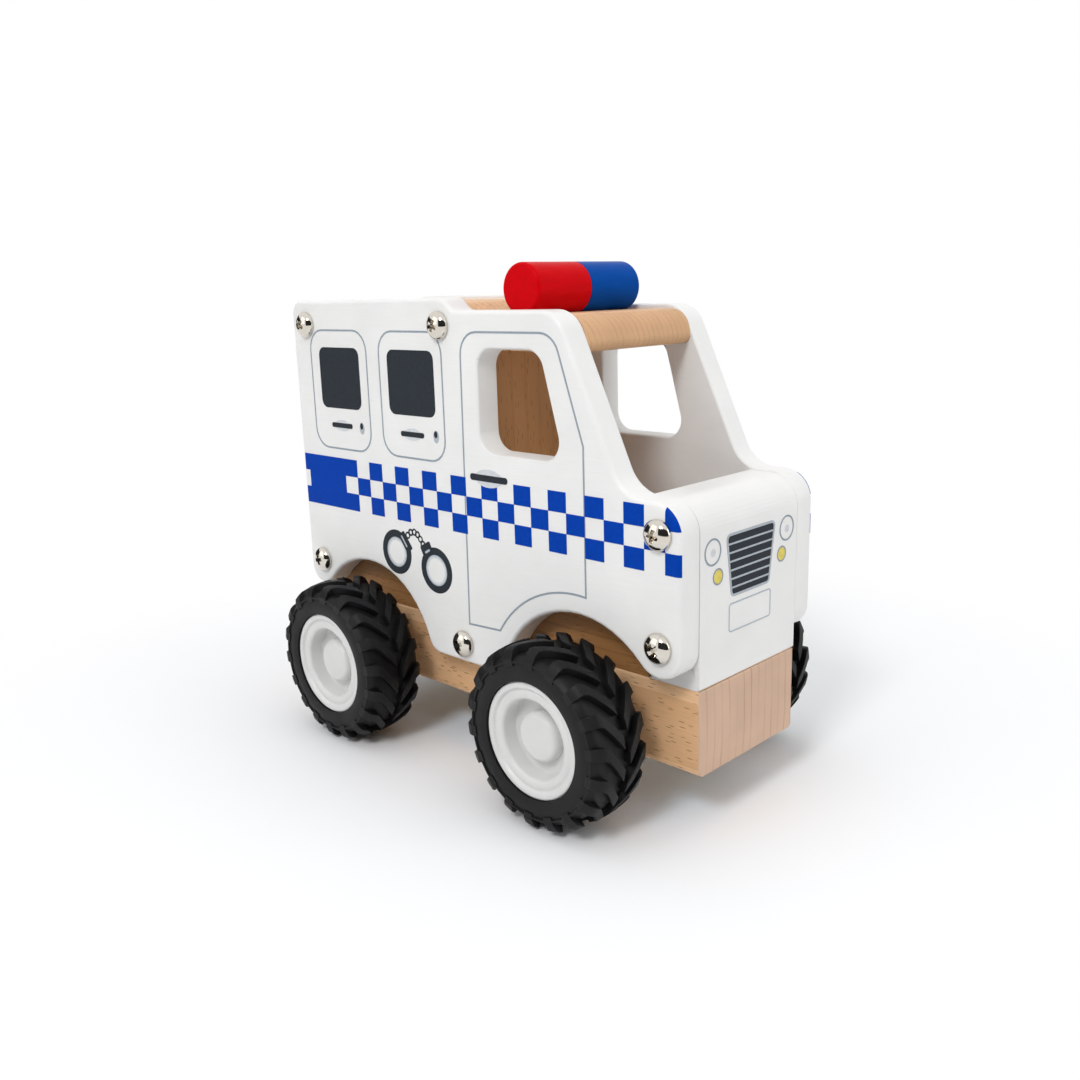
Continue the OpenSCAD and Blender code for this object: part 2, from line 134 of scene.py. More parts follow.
def beech(name, grain, pith, light="#dfb48b", dark="#b98556", ring_mm=3.8, line=0.45, end=None):
    """Steamed beech, planed and sanded: pale tan, with short dark ray flecks, and rings on the cut end."""
    material, tree, shader = new_material(name)
    coords = add(tree, "TexCoord")
    wood = add(tree, "Mapping", {"Vector": coords.outputs["Object"], "Location": pith,
                                 "Rotation": GRAIN[grain], "Scale": PER_MM})
    # Rings round a far pith, bent by a slow waviness along the board
    slow = add(tree, "Mapping", {"Vector": wood.outputs[0], "Scale": (0.12, 1, 1)})
    rings = add(tree, "TexWave", {"Vector": slow.outputs[0], "Scale": WAVE_LENGTH / ring_mm,
                                  "Distortion": 2.6, "Detail": 3.0, "Detail Scale": 0.3,
                                  "Detail Roughness": 0.6},
                wave_type="RINGS", rings_direction="X", wave_profile="SAW")
    late = add(tree, "MapRange", {"Value": rings.outputs["Fac"], "From Min": 0.68, "From Max": 1.0,
                                  "To Min": 0.0, "To Max": line}, interpolation_type="SMOOTHSTEP")
    # Ray flecks about 0.3 mm wide and 2.5 mm long, one to about 12 square millimetres
    fleck_space = add(tree, "Mapping", {"Vector": wood.outputs[0], "Scale": (0.125, 1, 1)})
    flecks = add(tree, "TexVoronoi", {"Vector": fleck_space.outputs[0], "Scale": 1.25})
    fleck = add(tree, "MapRange", {"Value": flecks.outputs["Distance"], "From Min": 0.23, "From Max": 0.13,
                                   "To Max": 0.7}, interpolation_type="SMOOTHSTEP")
    # Fibre streaks about 0.25 mm wide, and broad changes of tone
    fibre_space = add(tree, "Mapping", {"Vector": wood.outputs[0], "Scale": (0.1, 4.0, 4.0)})
    fibre = add(tree, "TexNoise", {"Vector": fibre_space.outputs[0], "Scale": 1.0, "Detail": 3.0})
    tone = add(tree, "TexNoise", {"Vector": slow.outputs[0], "Scale": 0.06, "Detail": 2.0})
    face = add(tree, "Mix", {0: late.outputs[0], 6: linear(light), 7: linear(dark)}, data_type="RGBA")
    ground, spots = face.outputs[2], fleck.outputs[0]
    if end:
        # The sawn end, past a reach from the middle: pinker, with sharper ring lines and no flecks
        middle, reach, pale, ripe = end
        parts = add(tree, "SeparateXYZ", {0: coords.outputs["Object"]})
        off = add(tree, "Math", {0: parts.outputs["X"], 1: middle * MM}, operation="SUBTRACT")
        far = add(tree, "Math", {0: off.outputs[0]}, operation="ABSOLUTE")
        sawn = add(tree, "MapRange", {"Value": far.outputs[0], "From Min": (reach - 0.4) * MM,
                                      "From Max": reach * MM})
        edge = add(tree, "MapRange", {"Value": rings.outputs["Fac"], "From Min": 0.75, "From Max": 1.0},
                   interpolation_type="SMOOTHSTEP")
        years = add(tree, "Mapping", {"Vector": wood.outputs[0], "Scale": (0.02, 0.3, 0.03)})
        growth = add(tree, "TexNoise", {"Vector": years.outputs[0], "Scale": 1.0, "Detail": 2.0})
        strong = add(tree, "MapRange", {"Value": growth.outputs["Fac"], "From Min": 0.35, "From Max": 0.65,
                                        "To Min": 0.08, "To Max": 0.6})
        drawn = add(tree, "Math", {0: edge.outputs[0], 1: strong.outputs[0]}, operation="MULTIPLY")
        cut = add(tree, "Mix", {0: drawn.outputs[0], 6: linear(pale), 7: linear(ripe)}, data_type="RGBA")
        faces = add(tree, "Mix", {0: sawn.outputs[0], 6: ground, 7: cut.outputs[2]}, data_type="RGBA")
        ground = faces.outputs[2]
        long_grain = add(tree, "Math", {0: 1.0, 1: sawn.outputs[0]}, operation="SUBTRACT")
        spots = add(tree, "Math", {0: spots, 1: long_grain.outputs[0]}, operation="MULTIPLY").outputs[0]
    streak = add(tree, "MapRange", {"Value": fibre.outputs["Fac"], **NOISE, "To Min": 0.90, "To Max": 1.06})
    shade = add(tree, "MapRange", {"Value": tone.outputs["Fac"], **NOISE, "To Min": 0.92, "To Max": 1.05})
    both = add(tree, "Math", {0: streak.outputs[0], 1: shade.outputs[0]}, operation="MULTIPLY")
    toned = add(tree, "VectorMath", {0: ground, "Scale": both.outputs[0]}, operation="SCALE")
    colour = add(tree, "Mix", {0: spots, 6: toned.outputs[0], 7: linear(FLECK_BROWN)}, data_type="RGBA")
    pits = add(tree, "Math", {0: fibre.outputs["Fac"], 1: spots}, operation="SUBTRACT")
    bump = add(tree, "Bump", {"Height": pits.outputs[0], "Strength": 0.35, "Distance": 0.06 * MM})
    rough = add(tree, "MapRange", {"Value": fibre.outputs["Fac"], "To Min": 0.5, "To Max": 0.7})
    settle(tree, shader, Base_Color=colour.outputs[2], Roughness=rough.outputs[0], Normal=bump.outputs[0],
           IOR=1.5, Specular_IOR_Level=0.3)
    return material


def lacquer(name, colour):
    """White lacquer sprayed on sanded wood: satin, with the grain just telling through the paint."""
    material, tree, shader = new_material(name)
    coords = add(tree, "TexCoord")
    wood = add(tree, "Mapping", {"Vector": coords.outputs["Object"], "Scale": PER_MM})
    # Raised fibres 0.4 mm wide under the paint, and spray texture 0.7 mm across
    fibre_space = add(tree, "Mapping", {"Vector": wood.outputs[0], "Scale": (0.08, 2.2, 2.2)})
    fibre = add(tree, "TexNoise", {"Vector": fibre_space.outputs[0], "Scale": 1.0, "Detail": 3.0})
    spray = add(tree, "TexNoise", {"Vector": wood.outputs[0], "Scale": 1.4, "Detail": 1.0})
    relief = add(tree, "Math", {0: fibre.outputs["Fac"], 1: spray.outputs["Fac"]}, operation="ADD")
    bump = add(tree, "Bump", {"Height": relief.outputs[0], "Strength": 0.3, "Distance": 0.025 * MM})
    cloud = add(tree, "TexNoise", {"Vector": wood.outputs[0], "Scale": 0.05, "Detail": 3.0})
    tint = add(tree, "MapRange", {"Value": cloud.outputs["Fac"], **NOISE, "To Min": 0.965, "To Max": 1.02})
    streak = add(tree, "MapRange", {"Value": fibre.outputs["Fac"], **NOISE, "To Min": 0.985, "To Max": 1.01})
    both = add(tree, "Math", {0: tint.outputs[0], 1: streak.outputs[0]}, operation="MULTIPLY")
    paint = add(tree, "VectorMath", {0: linear(colour)[:3], "Scale": both.outputs[0]}, operation="SCALE")
    rough = add(tree, "MapRange", {"Value": cloud.outputs["Fac"], **NOISE, "To Min": 0.33, "To Max": 0.45})
    settle(tree, shader, Base_Color=paint.outputs[0], Roughness=rough.outputs[0], Normal=bump.outputs[0],
           IOR=1.47)
    return material


def enamel(name, colour):
    """Gloss enamel dipped on a wooden dowel: deep colour, a clear skin and slow waves in it."""
    material, tree, shader = new_material(name)
    coords = add(tree, "TexCoord")
    dowel = add(tree, "Mapping", {"Vector": coords.outputs["Object"], "Scale": (1 / MM, 0.25 / MM, 1 / MM)})
    wave = add(tree, "TexNoise", {"Vector": dowel.outputs[0], "Scale": 0.5, "Detail": 2.0})
    bump = add(tree, "Bump", {"Height": wave.outputs["Fac"], "Strength": 0.25, "Distance": 0.05 * MM})
    tint = add(tree, "MapRange", {"Value": wave.outputs["Fac"], **NOISE, "To Min": 0.93, "To Max": 1.04})
    paint = add(tree, "VectorMath", {0: linear(colour)[:3], "Scale": tint.outputs[0]}, operation="SCALE")
    rough = add(tree, "MapRange", {"Value": wave.outputs["Fac"], "To Min": 0.27, "To Max": 0.37})
    settle(tree, shader, Base_Color=paint.outputs[0], Roughness=rough.outputs[0], Normal=bump.outputs[0],
           Coat_Weight=0.03, Coat_Roughness=0.08, IOR=1.5, Specular_IOR_Level=0.02)
    return material


def ink(name, colour):
    """Transfer-printed ink: an even film, a little mottled."""
    material, tree, shader = new_material(name)
    coords = add(tree, "TexCoord")
    mottle = add(tree, "TexNoise", {"Vector": coords.outputs["Object"], "Scale": 0.8 / MM, "Detail": 2.0})
    tint = add(tree, "MapRange", {"Value": mottle.outputs["Fac"], **NOISE, "To Min": 0.92, "To Max": 1.05})
    film = add(tree, "VectorMath", {0: linear(colour)[:3], "Scale": tint.outputs[0]}, operation="SCALE")
    rough = add(tree, "MapRange", {"Value": mottle.outputs["Fac"], "To Min": 0.36, "To Max": 0.48})
    settle(tree, shader, Base_Color=film.outputs[0], Roughness=rough.outputs[0], IOR=1.5,
           Specular_IOR_Level=0.04)
    return material


def rubber(name):
    """Moulded black rubber: soft sheen on the mould's fine grit, its tone varying in patches."""
    material, tree, shader = new_material(name)
    coords = add(tree, "TexCoord")
    grit = add(tree, "TexNoise", {"Vector": coords.outputs["Object"], "Scale": 2.2 / MM, "Detail": 2.0})
    patch = add(tree, "TexNoise", {"Vector": coords.outputs["Object"], "Scale": 0.12 / MM, "Detail": 3.0})
    bump = add(tree, "Bump", {"Height": grit.outputs["Fac"], "Strength": 0.3, "Distance": 0.03 * MM})
    colour = add(tree, "Mix", {0: patch.outputs["Fac"], 6: linear("#0a0a0b"), 7: linear("#141415")},
                 data_type="RGBA")
    rough = add(tree, "MapRange", {"Value": patch.outputs["Fac"], **NOISE, "To Min": 0.44, "To Max": 0.58})
    settle(tree, shader, Base_Color=colour.outputs[2], Roughness=rough.outputs[0], Normal=bump.outputs[0],
           IOR=1.5, Specular_IOR_Level=0.25)
    return material


def plastic(name, colour):
    """Injection-moulded ABS, off-white and satin."""
    material, tree, shader = new_material(name)
    coords = add(tree, "TexCoord")
    flow = add(tree, "TexNoise", {"Vector": coords.outputs["Object"], "Scale": 0.1 / MM, "Detail": 2.0})
    grain = add(tree, "TexNoise", {"Vector": coords.outputs["Object"], "Scale": 2.0 / MM, "Detail": 1.0})
    bump = add(tree, "Bump", {"Height": grain.outputs["Fac"], "Strength": 0.12, "Distance": 0.02 * MM})
    tint = add(tree, "MapRange", {"Value": flow.outputs["Fac"], **NOISE, "To Min": 0.96, "To Max": 1.02})
    tone = add(tree, "VectorMath", {0: linear(colour)[:3], "Scale": tint.outputs[0]}, operation="SCALE")
    rough = add(tree, "MapRange", {"Value": flow.outputs["Fac"], "To Min": 0.30, "To Max": 0.44})
    settle(tree, shader, Base_Color=tone.outputs[0], Roughness=rough.outputs[0], Normal=bump.outputs[0],
           IOR=1.53)
    return material


def metal(name, colour, low, high):
    """Polished plate or drawn rod: mirror-like, with a faint smear."""
    material, tree, shader = new_material(name)
    coords = add(tree, "TexCoord")
    smear = add(tree, "TexNoise", {"Vector": coords.outputs["Object"], "Scale": 0.5 / MM, "Detail": 3.0})
    rough = add(tree, "MapRange", {"Value": smear.outputs["Fac"], **NOISE, "To Min": low, "To Max": high})
    settle(tree, shader, Base_Color=linear(colour), Metallic=1.0, Roughness=rough.outputs[0])
    return material


# Modelling by operators


def only(piece):
    """Makes a piece the one selected and active object."""
    bpy.ops.object.select_all(action="DESELECT")
    piece.select_set(True)
    bpy.context.view_layer.objects.active = piece


def edit(piece, mode="VERT"):
    """Opens a piece for editing with nothing selected."""
    only(piece)
    bpy.ops.object.mode_set(mode="EDIT")
    bpy.ops.mesh.select_mode(type=mode)
    bpy.ops.mesh.select_all(action="DESELECT")


def close():
    """Ends the editing."""
    bpy.ops.object.mode_set(mode="OBJECT")


def start(operator, name, **size):
    """A new primitive with that name, alone in the selection."""
    bpy.ops.object.select_all(action="DESELECT")
    operator(**size)
    piece = bpy.context.active_object
    piece.name = name
    piece.data.name = name
    return piece


def apply_modifier(piece, kind, **settings):
    """Adds a modifier with its settings and applies it."""
    only(piece)
    made = piece.modifiers.new(kind.lower(), kind)
    for name, value in settings.items():
        setattr(made, name, value)
    bpy.ops.object.modifier_apply(modifier=made.name)


def merge(piece, outwards=True):
    """Welds doubled points and turns the faces outwards."""
    edit(piece)
    bpy.ops.mesh.select_all(action="SELECT")
    bpy.ops.mesh.remove_doubles(threshold=WELD)
    if outwards:
        bpy.ops.mesh.normals_make_consistent(inside=False)
    close()


def smooth(piece, degrees=35):
    """Smooth shading up to an angle, with large flat faces kept flat."""
    only(piece)
    bpy.ops.object.shade_smooth_by_angle(angle=math.radians(degrees))
    apply_modifier(piece, "WEIGHTED_NORMAL", keep_sharp=True)


def place(piece, matrix):
    """Moves a piece's mesh, and turns its faces right way round after a mirror."""
    piece.data.transform(matrix)
    if matrix.to_3x3().determinant() < 0:
        piece.data.flip_normals()
    piece.data.update()


def twin(piece, name, matrix):
    """A copy of a piece, with its own mesh, moved by a matrix."""
    made = bpy.data.objects.new(name, piece.data.copy())
    bpy.context.scene.collection.objects.link(made)
    place(made, matrix)
    return made


def join(pieces, name):
    """Joins pieces into one."""
    bpy.ops.object.select_all(action="DESELECT")
    for piece in pieces:
        piece.select_set(True)
    bpy.context.view_layer.objects.active = pieces[0]
    bpy.ops.object.join()
    pieces[0].name = name
    pieces[0].data.name = name
    return pieces[0]


def finish_piece(piece, material, body, replaces=()):
    """Gives a piece its material and its body, and hides the nodes that it stands for."""
    piece.data.materials.clear()
    piece.data.materials.append(material)
    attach(piece, body)
    if replaces:
        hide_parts(*replaces)
    return piece


def dressed(node):
    """A welded, smooth copy of a CAD node."""
    piece = bpy.data.objects.new(f"{node}_dressed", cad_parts[node].data.copy())
    bpy.context.scene.collection.objects.link(piece)
    merge(piece, outwards=False)
    smooth(piece)
    return piece


def board(node):
    """A board in a node's box, with eased edges."""
    low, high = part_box(node)
    piece = start(bpy.ops.mesh.primitive_cube_add, f"{node}_dressed", size=1)
    place(piece, Matrix.LocRotScale((low + high) / 2, None, high - low))
    apply_modifier(piece, "BEVEL", width=BOARD_EDGE, segments=3, limit_method="ANGLE")
    smooth(piece)
    return piece


def arc(cx, cy, r, a0, a1, steps):
    """Points along an arc, angles in degrees."""
    turns = [math.radians(a0 + (a1 - a0) * i / steps) for i in range(steps + 1)]
    return [(cx + r * math.cos(a), cy + r * math.sin(a)) for a in turns]


def lathe(profile, name, steps=96):
    """Spins a closed section of [radius, height] points, in millimetres, about z."""
    piece = start(bpy.ops.mesh.primitive_circle_add, name, vertices=len(profile), fill_type="NOTHING")
    for vertex, (r, h) in zip(piece.data.vertices, profile):
        vertex.co = Vector((r, 0, h)) * MM
    edit(piece)
    bpy.ops.mesh.select_all(action="SELECT")
    bpy.ops.mesh.spin(steps=steps, angle=2 * math.pi, center=(0, 0, 0), axis=(0, 0, 1))
    bpy.ops.mesh.select_all(action="SELECT")
    bpy.ops.mesh.remove_doubles(threshold=WELD)
    bpy.ops.mesh.delete_loose()
    close()
    merge(piece)
    return piece


# Print


def rounded(corners, steps=6):
    """An outline through [x, y, radius] corners, in millimetres, with each corner an arc."""
    points = []
    count = len(corners)
    for i, (x, y, r) in enumerate(corners):
        here = Vector((x, y))
        if r == 0:
            points.append((x, y))
            continue
        back = (Vector(corners[i - 1][:2]) - here).normalized()
        ahead = (Vector(corners[(i + 1) % count][:2]) - here).normalized()
        half = back.angle(ahead) / 2
        middle = here + (back + ahead).normalized() * r / math.sin(half)
        first = here + back * r / math.tan(half) - middle
        sweep = math.copysign(math.pi - 2 * half, back.x * -ahead.y + back.y * ahead.x)
        for k in range(steps + 1):
            turned = Matrix.Rotation(sweep * k / steps, 2) @ first + middle
            points.append((turned.x, turned.y))
    return points


def flat(name, outline):
    """A flat face inside an outline in millimetres."""
    piece = start(bpy.ops.mesh.primitive_circle_add, name, vertices=len(outline), fill_type="NGON")
    for vertex, (x, y) in zip(piece.data.vertices, outline):
        vertex.co = Vector((x, y, 0)) * MM
    piece.data.update()
    if piece.data.polygons[0].normal.z < 0:
        piece.data.flip_normals()
    return piece


def stroke(name, outline, width):
    """A line of that width along the inside of an outline."""
    piece = flat(name, outline)
    edit(piece, "FACE")
    bpy.ops.mesh.select_all(action="SELECT")
    bpy.ops.mesh.inset(thickness=width * MM, use_even_offset=True)
    bpy.ops.mesh.delete(type="FACE")
    close()
    return piece


def box_corners(x0, x1, y0, y1, r):
    """The corners of a rectangle, all of one radius."""
    return [(x0, y0, r), (x1, y0, r), (x1, y1, r), (x0, y1, r)]


def rect(name, x0, x1, y0, y1, r=0.0):
    """A filled rectangle."""
    return flat(name, rounded(box_corners(x0, x1, y0, y1, r)))


def oval(cx, cy, rx, ry, steps):
    """Points round an ellipse."""
    turns = [2 * math.pi * i / steps for i in range(steps)]
    return [(cx + rx * math.cos(a), cy + ry * math.sin(a)) for a in turns]


def disc(name, cx, cy, rx, ry=None, steps=40):
    """A filled circle, or an ellipse where it has a second radius."""
    return flat(name, oval(cx, cy, rx, ry or rx, steps))


def ring(name, cx, cy, r, width, steps=40):
    """A line of that width along the inside of a circle."""
    return stroke(name, oval(cx, cy, r, r, steps), width)


def thicken(piece, layer):
    """Gives a flat print its film, raised by its layer and rooted in the paint."""
    apply_modifier(piece, "SOLIDIFY", thickness=INK * layer + INK_ROOT, offset=1.0)
    piece.data.transform(Matrix.Translation((0, 0, -INK_ROOT)))
    return piece


def sideways(sign):
    """Turns a drawing upright, with its z axis out of one side of the van."""
    return Matrix(((1, 0, 0, 0), (0, 0, sign, 0), (0, 1, 0, 0), (0, 0, 0, 1)))


def side_matrix(side):
    """From a drawing in x and height to the outer face of a side panel."""
    sign = SIDES[side]
    return Matrix.Translation((0, sign * FACE_Y, 0)) @ sideways(sign)


# From a drawing in y and height to the front block's face
NOSE_MATRIX = Matrix(((0, 0, 1, NOSE_X), (1, 0, 0, 0), (0, 1, 0, 0), (0, 0, 0, 1)))


def print_on_sides(name, shapes, material, layer=1):
    """Joins flat shapes into one print and lays it on both side panels."""
    master = thicken(join(shapes, name), layer)
    for side in SIDES:
        made = twin(master, f"{side}_{name}", side_matrix(side))
        finish_piece(made, material, "van")
    bpy.data.objects.remove(master)


def print_on_nose(name, shapes, material, layer=1):
    """Joins flat shapes into one print and lays it on the front block."""
    made = thicken(join(shapes, name), layer)
    place(made, NOSE_MATRIX)
    finish_piece(made, material, "van")


PAINT_WHITE = lacquer("white_lacquer_on_wood", "#eeeeed")
BEECH_BEAM = beech("beech_beam", "x", (0, 150, -31), light="#f6c99c", dark="#d09a66",
                   end=(0, 88.8, "#d6b59d", "#ad7d5b"))
# The deck's beech is darker than the beam's: painted shade for where it shows behind the wheel arches
BEECH_DECK_SHADED = beech("beech_deck_painted_shade", "x", (0, 30, 90), light="#ac7c4c", dark="#87592f")
BEECH_ROOF = beech("beech_roof", "x", (0, 46, -136), light="#e6bd95", dark="#c89567", ring_mm=2.4,
                   end=(-23, 66, "#d6ab82", "#ae7a4e"))
# The bulkhead's beech is darker too: painted shade for the shaded inside of the cab
BEECH_WALL_SHADED = beech("beech_bulkhead_painted_shade", "z", (0, 70, 25), light="#bd8a59", dark="#a2703f", ring_mm=6.0, line=0.3)
BEECH_PIN = beech("beech_dowel", "z", (0, 40, 15))
ENAMEL_RED = enamel("red_gloss_enamel", "#cf0410")
ENAMEL_BLUE = enamel("blue_gloss_enamel", "#014aa2")
NICKEL = metal("polished_nickel_plate", "#d8d2c8", 0.05, 0.12)
STEEL = metal("drawn_steel_rod", "#b4b4b8", 0.25, 0.35)
RUBBER = rubber("moulded_black_rubber")
ABS_WHITE = plastic("off_white_abs", "#dcdddb")
INK_BLUE = ink("blue_print_ink", "#013faa")
INK_CHARCOAL = ink("charcoal_print_ink", "#32373d")
INK_GREY = ink("grey_print_ink", "#b4bcc4")
INK_SLATE = ink("slate_print_ink", "#98a2ac")
INK_PALE = ink("pale_grey_print_ink", "#d6dade")
INK_YELLOW = ink("yellow_print_ink", "#e6d36c")


def keep_node(node, material):
    """Keeps a CAD node and gives it a material."""
    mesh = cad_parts[node].data
    mesh.materials.clear()
    mesh.materials.append(material)


# Boards and panels

# Corners of the cab window as [x, height, radius]: the solid's, and as its sill and corners are sawn
WINDOW = [(11, 107, 8), (46, 107, 8), (37.4, 140, 4.5), (11, 140, 6)]
WINDOW_SAWN = [(11, 107.9, 6.5), (46.3, 107.9, 6), (37.4, 140, 6.5), (11, 140, 6)]
# Steps in each corner, and how far from the outline a point still belongs to the window, in millimetres
WINDOW_STEPS, WINDOW_NEAR = 24, 1.5
# How far the deck's front end is let into the front block, past its rounded edges
DECK_LET_IN = 1.2 * MM


def saw_window(piece):
    """Shifts the points of a panel's window to the sawn outline."""
    old, new = ([Vector(p) for p in rounded(corners, WINDOW_STEPS)] for corners in (WINDOW, WINDOW_SAWN))
    for vertex in piece.data.vertices:
        spot = Vector((vertex.co.x, vertex.co.z)) / MM
        away, near = min(((point - spot).length, i) for i, point in enumerate(old))
        if away < WINDOW_NEAR:
            shift = (new[near] - old[near]) * MM
            vertex.co += Vector((shift.x, 0, shift.y))
    piece.data.update()


def let_in(deck):
    """Lengthens the deck board at its front end."""
    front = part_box("deck_board")[1].x
    for vertex in deck.data.vertices:
        if vertex.co.x > front - MM:
            vertex.co.x += DECK_LET_IN
    deck.data.update()


for node, material in (("chassis", BEECH_BEAM), ("front_block", PAINT_WHITE), ("roof_board", BEECH_ROOF),
                       ("right_side_panel", PAINT_WHITE), ("left_side_panel", PAINT_WHITE)):
    slot = "white_paint" if material == PAINT_WHITE else "beech"
    piece = finish_piece(dressed(node), material, "van", [node])
    if node.endswith("side_panel"):
        saw_window(piece)

for node, material, slot in (("deck_board", BEECH_DECK_SHADED, "beech"), ("bulkhead", BEECH_WALL_SHADED, "beech"),
                             ("rear_wall", PAINT_WHITE, "white_paint")):
    piece = finish_piece(board(node), material, "van", [node])
    if node == "deck_board":
        let_in(piece)

for node in ("dowel_pins", "light_bar_pegs"):
    keep_node(node, BEECH_PIN)
for node in ("front_axle", "rear_axle"):
    keep_node(node, STEEL)

# Light bar: a dowel in two halves, flatted where it sits on the roof

BAR_LOW, BAR_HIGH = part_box("light_bar_red")
BAR_R = (BAR_HIGH.x - BAR_LOW.x) / 2 / MM
BAR_HALF = (BAR_HIGH.y - BAR_LOW.y) / MM
BAR_AXIS = Vector(((BAR_LOW.x + BAR_HIGH.x) / 2, 0, BAR_HIGH.z - BAR_R * MM))
# Eased edges at the seam and at the ends, in millimetres
SEAM_EDGE, END_EDGE = 0.25, 1.2


def light_bar_half(name, sign):
    """One half of the bar, from the seam in the middle to its eased end."""
    seam = [(0, 0), (BAR_R - SEAM_EDGE, 0), (BAR_R, SEAM_EDGE)]
    end = arc(BAR_R - END_EDGE, BAR_HALF - END_EDGE, END_EDGE, 0, 90, 6) + [(0, BAR_HALF)]
    piece = lathe(seam + end, name, steps=128)
    place(piece, Matrix.Translation(BAR_AXIS) @ sideways(sign))
    edit(piece)
    bpy.ops.mesh.select_all(action="SELECT")
    bpy.ops.mesh.bisect(plane_co=(0, 0, BAR_LOW.z), plane_no=(0, 0, 1), use_fill=True, clear_inner=True)
    close()
    smooth(piece)
    return piece


finish_piece(light_bar_half("red_half", SIDES["right"]), ENAMEL_RED, "van", ["light_bar_red"])
finish_piece(light_bar_half("blue_half", SIDES["left"]), ENAMEL_BLUE, "van", ["light_bar_blue"])

# Screws: a domed head with a cross recess on a plain shank

# Each screw's x and height, and the turn of its recess in degrees
SCREW_SPOTS = [(81.5, 59), (81.5, 91.5), (-80, 59), (-80, 147), (-6, 147), (-0.8, 42.2)]
SCREW_TURNS = [38, 78, 12, 55, 68, 25]
# The head's radius, the height of its rim and the rise of its dome; the shank's radius, its end and the point
HEAD_R, HEAD_RIM, HEAD_RISE = 4.6, 0.5, 2.7
SHANK_R, SHANK_END, SCREW_POINT = 2, -25, -28
# A wing of the recess: its length and width, and at its foot and top the height and the share of both
WING_LONG, WING_WIDE = 4.2, 1.35
WING_FOOT, WING_TOP = (1.3, 0.45, 0.7), (3.6, 1.12, 1.08)


def wing():
    """One wing of the cutter for a cross recess, narrowing downwards."""
    piece = start(bpy.ops.mesh.primitive_cube_add, "wing", size=1)
    for vertex in piece.data.vertices:
        x, y, z = vertex.co
        height, long, wide = WING_FOOT if z < 0 else WING_TOP
        vertex.co = Vector((x * WING_LONG * long, y * WING_WIDE * wide, height)) * MM
    return piece


def screw():
    """A pan-head wood screw, its head's underside at height 0."""
    dome = [(HEAD_R * x, HEAD_RIM + HEAD_RISE * y) for x, y in arc(0, 0, 1, 90, 0, 14)]
    dome[0] = (0, HEAD_RIM + HEAD_RISE)
    rim_edge = [(4.5, 0.1), (4.3, 0)]
    shank = [(SHANK_R, 0), (SHANK_R, SHANK_END), (0, SCREW_POINT)]
    piece = lathe(dome + rim_edge + shank, "screw", steps=72)
    wings = [wing(), wing()]
    place(wings[1], Matrix.Rotation(math.radians(90), 4, "Z"))
    for cutter in wings:
        apply_modifier(piece, "BOOLEAN", operation="DIFFERENCE", object=cutter, solver="EXACT")
        bpy.data.objects.remove(cutter)
    merge(piece)
    smooth(piece, 40)
    return piece


OUTWARDS = sideways(SIDES["right"])
MIRROR_Y = Matrix.Diagonal((1, -1, 1, 1))

one_screw = screw()
heads = []
for (x, z), turn in zip(SCREW_SPOTS, SCREW_TURNS):
    heads.append(twin(one_screw, "head", Matrix.Translation((x * MM, -FACE_Y, z * MM)) @ OUTWARDS
                      @ Matrix.Rotation(math.radians(turn), 4, "Z")))
bpy.data.objects.remove(one_screw)
right_screws = join(heads, "right_screws")
left_screws = twin(right_screws, "left_screws", MIRROR_Y)
finish_piece(right_screws, NICKEL, "van", ["right_panel_screws"])
finish_piece(left_screws, NICKEL, "van", ["left_panel_screws"])

# Wheels, drawn about the z axis with the outboard side up, as [radius, height] in millimetres

# The tread's radius, half its width and the fall of its crown
TYRE_R, TYRE_HALF, CROWN = 29.0, 11.0, 1.2
# The rim's seat for the tyre and the lip that holds it, the floor of its recess, and the boss behind
SEAT_R, SEAT_HALF, LIP_R = 17.0, 8.6, 18.2
DISH, BOSS_R, BOSS_END = 3.8, 6, -19.4
AXLE_R = 2.5
# A sidewall's height at the lip, its run outwards, its bulge and its steps
WALL_HALF, WALL_RUN, WALL_BULGE, WALL_STEPS = 10.35, 5.4, 0.55, 8
# The tyre's shoulder under the lugs: radius, height where it starts to fall, and slope
SHOULDER_R, SHOULDER_HALF, SHOULDER_SLOPE = 25.4, 8, 0.9
# Lugs in a row; a lug's height, skew, the ends of its bend, root in the tread, width and flare at the foot
LUGS = 18
LUG_H, LUG_SKEW, LUG_MID, LUG_BEND = 2.5, 8.6, 1.0, 7.6
LUG_ROOT, LUG_WIDE, LUG_FLARE = 0.6, 3.9, 0.3
# The radius at which a lug's skew and width are measured, and its eased edge
LUG_AT_R, LUG_EDGE = 28, 0.3 * MM
# The hub cap's radius, the radius of its edge, its top and the floor of its hollow
CAP_R, CAP_EDGE, CAP_TOP, CAP_FLOOR = 7.8, 2, 7.5, 5.8


def crown(u):
    """Tread radius at a distance u from the middle plane."""
    return TYRE_R - CROWN * (u / TYRE_HALF) ** 2


def tyre_body():
    """Bead, bulged sidewalls with a border rib, and the floor of the tread."""
    bead = [(SEAT_R, SEAT_HALF), (LIP_R, SEAT_HALF), (LIP_R, 9.6)]
    wall = []
    for i in range(WALL_STEPS + 1):
        t = i / WALL_STEPS
        bulge = WALL_BULGE * math.sin(math.pi * (0.15 + 0.75 * t))
        wall.append((LIP_R + WALL_RUN * t, WALL_HALF + bulge))
    rib = [(23.75, 10.95), (24.25, 10.95), (24.5, 10.6)]
    shoulder = [(25.2, 9.9), (25.7, 9.0)]
    side = bead + wall + rib + shoulder
    floor = [(crown(u) - LUG_H, u) for u in range(8, -9, -2)]
    return lathe(side + floor + [(r, -u) for r, u in reversed(side)], "tyre_body", steps=144)


# A lug's outline over the shoulder, as share of its length, distance from the middle and top radius
LUG_RUN = [(0.0, 1.0, 28.9), (0.2, 2.7, 28.93), (0.4, 4.7, 28.78), (0.6, 6.8, 28.54), (0.75, 8.5, 28.2),
           (0.85, 9.7, 27.5), (0.93, 10.6, 26.5), (1.0, 11.0, 25.0)]


